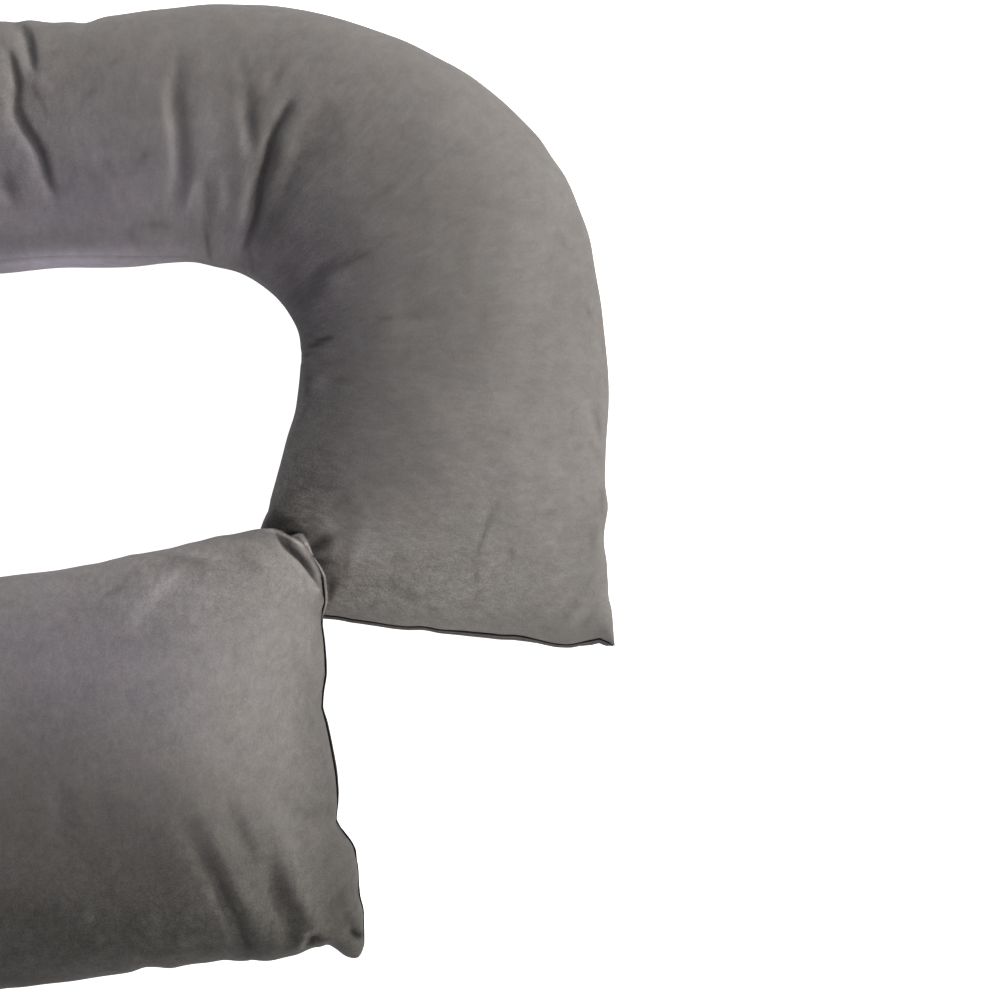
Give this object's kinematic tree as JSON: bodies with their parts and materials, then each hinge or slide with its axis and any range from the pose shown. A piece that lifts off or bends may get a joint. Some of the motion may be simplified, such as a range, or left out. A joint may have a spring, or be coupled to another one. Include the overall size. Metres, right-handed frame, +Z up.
{
  "type": "body pillow",
  "caption": "Long stuffed velvet body pillow laid round into a ring, the corner of its wide end lying over its narrow end.",
  "frame": {"origin": "on the floor, under the middle of the part's bounding box", "axes": "+Z up from the floor, +X towards the side where the two arms close, +Y from the long arm towards the short arm"},
  "size_m": [1.1242, 0.8018, 0.1842],
  "materials": {
    "velvet": "short-pile grey velvet with a soft sheen",
    "lip_velvet": "grey velvet, turned under and stitched"
  },
  "bodies": {
    "root": {"pillow": "velvet", "closing_lip_short_arm": "lip_velvet", "closing_lip_long_arm": "lip_velvet"}
  },
  "joints": []
}
